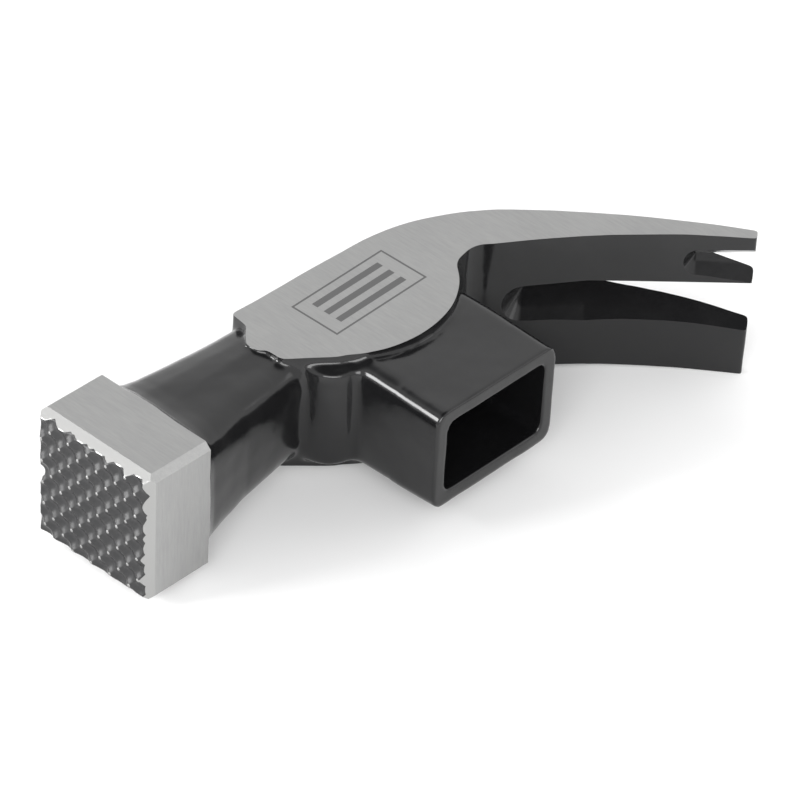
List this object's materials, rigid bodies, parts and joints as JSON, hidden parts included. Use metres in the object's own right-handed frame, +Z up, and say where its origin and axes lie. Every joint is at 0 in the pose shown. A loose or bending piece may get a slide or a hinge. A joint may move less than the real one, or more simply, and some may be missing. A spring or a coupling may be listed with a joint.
{
  "type": "claw hammer head",
  "caption": "Bare claw hammer head with a milled square face, tapered neck, rectangular handle socket and curved split claw.",
  "frame": {"origin": "middle of the handle socket's mouth, where the handle enters", "axes": "+X from the striking face to the claw, -Y along the handle as it leaves the head, +Z up through the cheeks with the head lying on its side"},
  "size_m": [0.1116, 0.0475, 0.0268],
  "materials": {
    "ground_steel": "ground flat, with fine lines across",
    "black_lacquer": "thick glossy black lacquer",
    "plated_magnet": "bright nickel plate"
  },
  "bodies": {
    "root": {"striking_poll": "ground_steel", "neck": "black_lacquer", "cheek_block": "ground_steel", "handle_socket": "black_lacquer", "claw_root": "black_lacquer", "upper_claw": "black_lacquer", "lower_claw": "black_lacquer", "nail_magnet": "plated_magnet"}
  },
  "joints": []
}
